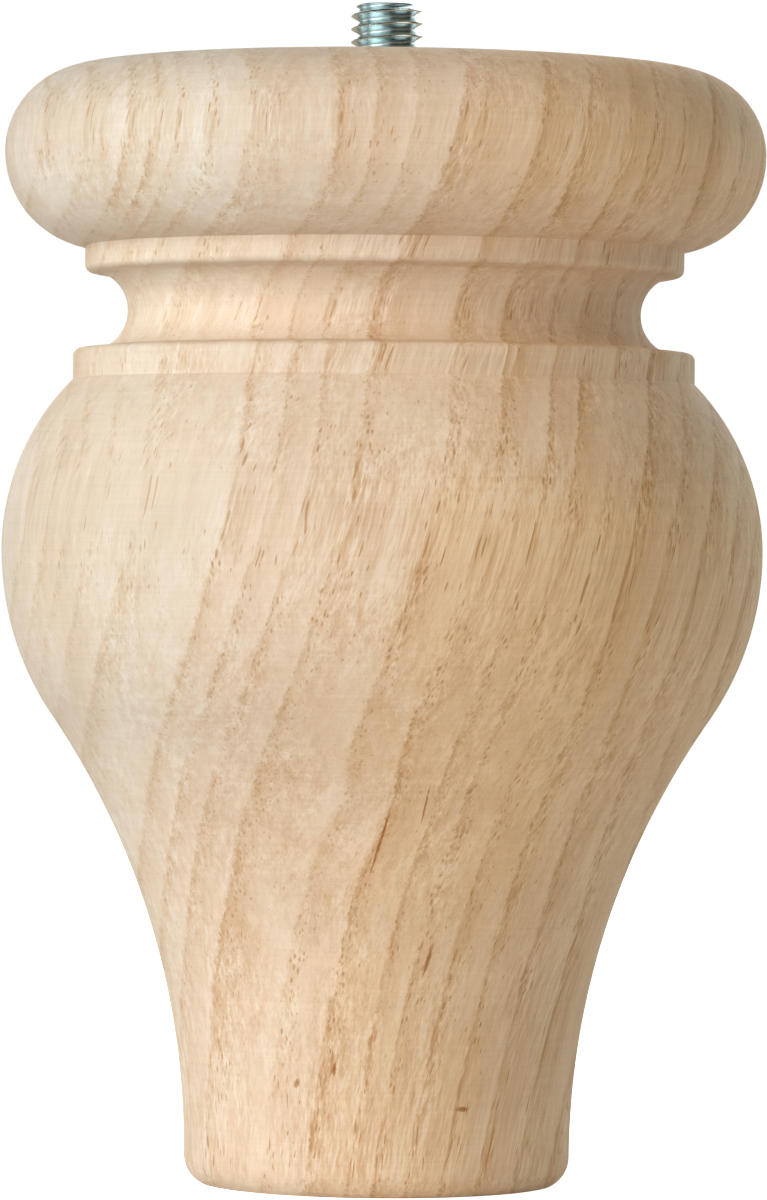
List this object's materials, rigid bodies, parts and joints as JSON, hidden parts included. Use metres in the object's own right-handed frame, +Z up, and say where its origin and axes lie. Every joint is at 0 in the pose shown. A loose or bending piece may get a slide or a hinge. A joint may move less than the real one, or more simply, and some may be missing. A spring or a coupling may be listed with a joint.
{
  "type": "turned tulip furniture foot",
  "caption": "Bare hardwood furniture foot turned to a bead, a cove and a tulip belly over a slim ankle, with a threaded hanger bolt standing out of its top.",
  "frame": {"origin": "centre of the sole, on the floor", "axes": "+Z up along the turning's axis, from the sole to the bolt that enters the furniture; X and Y lie along the floor"},
  "size_m": [0.0826, 0.0826, 0.1277],
  "materials": {
    "wood": "bare, sanded, unfinished ring-porous hardwood",
    "zinc_steel": "bright zinc-plated steel"
  },
  "bodies": {
    "root": {"turned_foot": "wood", "hanger_bolt": "zinc_steel"}
  },
  "joints": []
}
